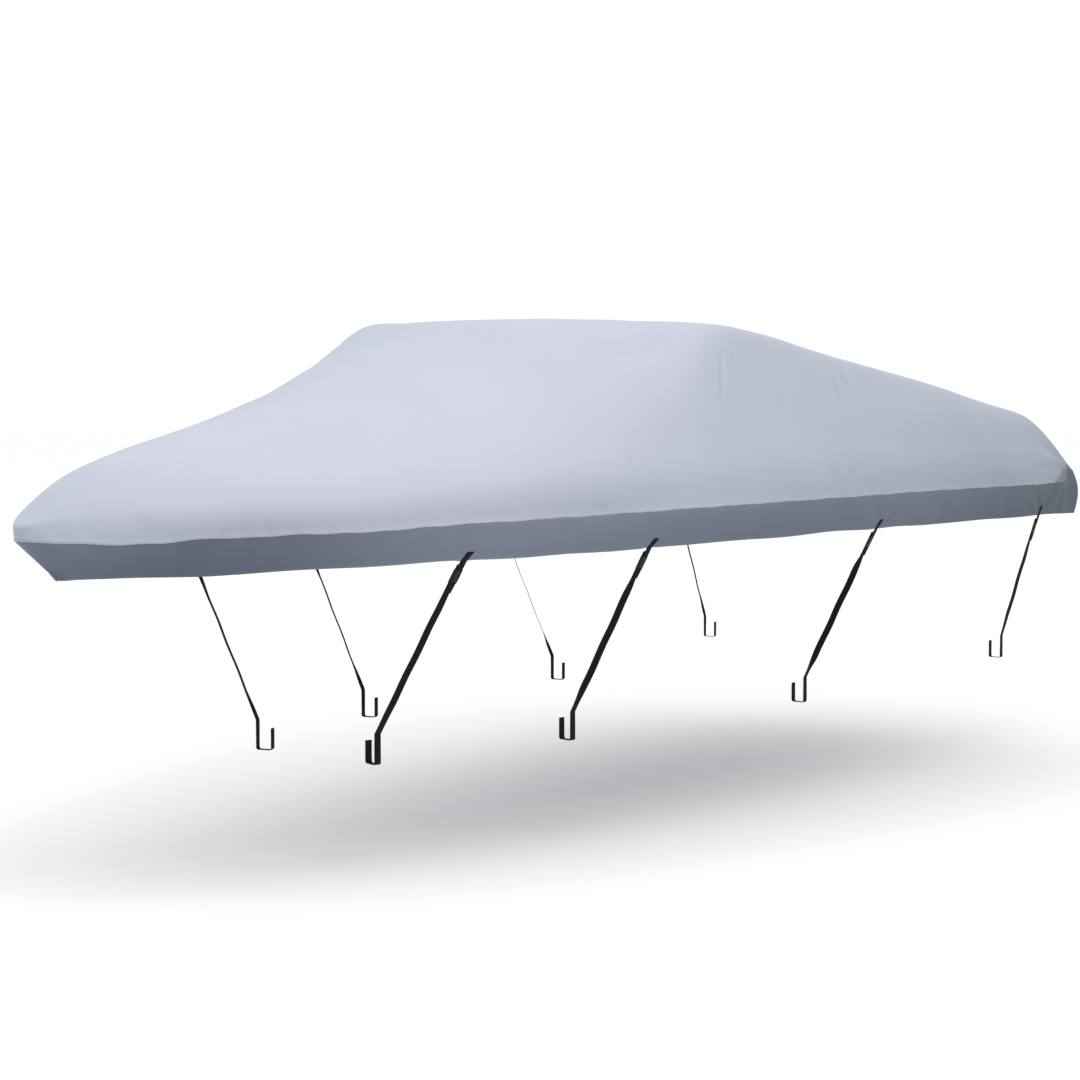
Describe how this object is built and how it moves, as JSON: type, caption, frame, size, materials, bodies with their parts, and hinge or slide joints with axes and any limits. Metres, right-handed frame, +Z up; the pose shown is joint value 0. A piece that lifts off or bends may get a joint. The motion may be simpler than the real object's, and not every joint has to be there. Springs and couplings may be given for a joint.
{
  "type": "boat cover",
  "caption": "Fitted one-piece boat cover drawn tight from pointed bow over a high cross ridge to a square stern, with a darker skirt and webbing straps with buckles.",
  "frame": {"origin": "underside of the top in the middle of its cross ridge, where the cover is held up", "axes": "+Z up, -X towards the bow, +Y towards the starboard side"},
  "size_m": [5.342, 2.012, 1.4888],
  "materials": {
    "top_polyester": "tight woven polyester with a faint sheen",
    "skirt_polyester": "tight woven polyester, matte",
    "black_webbing": "woven webbing, matte",
    "black_acetal": "moulded, satin"
  },
  "bodies": {
    "root": {"cover_top": "top_polyester", "skirt": "skirt_polyester", "tab_port_1": "black_webbing", "tab_port_2": "black_webbing", "tab_port_3": "black_webbing", "tab_port_4": "black_webbing", "tab_starboard_1": "black_webbing", "tab_starboard_2": "black_webbing", "tab_starboard_3": "black_webbing", "tab_starboard_4": "black_webbing", "buckle_port_1": "black_acetal", "buckle_port_2": "black_acetal", "buckle_port_3": "black_acetal", "buckle_port_4": "black_acetal", "buckle_starboard_1": "black_acetal", "buckle_starboard_2": "black_acetal", "buckle_starboard_3": "black_acetal", "buckle_starboard_4": "black_acetal", "strap_port_1": "black_webbing", "strap_port_2": "black_webbing", "strap_port_3": "black_webbing", "strap_port_4": "black_webbing", "strap_starboard_1": "black_webbing", "strap_starboard_2": "black_webbing", "strap_starboard_3": "black_webbing", "strap_starboard_4": "black_webbing"}
  },
  "joints": []
}
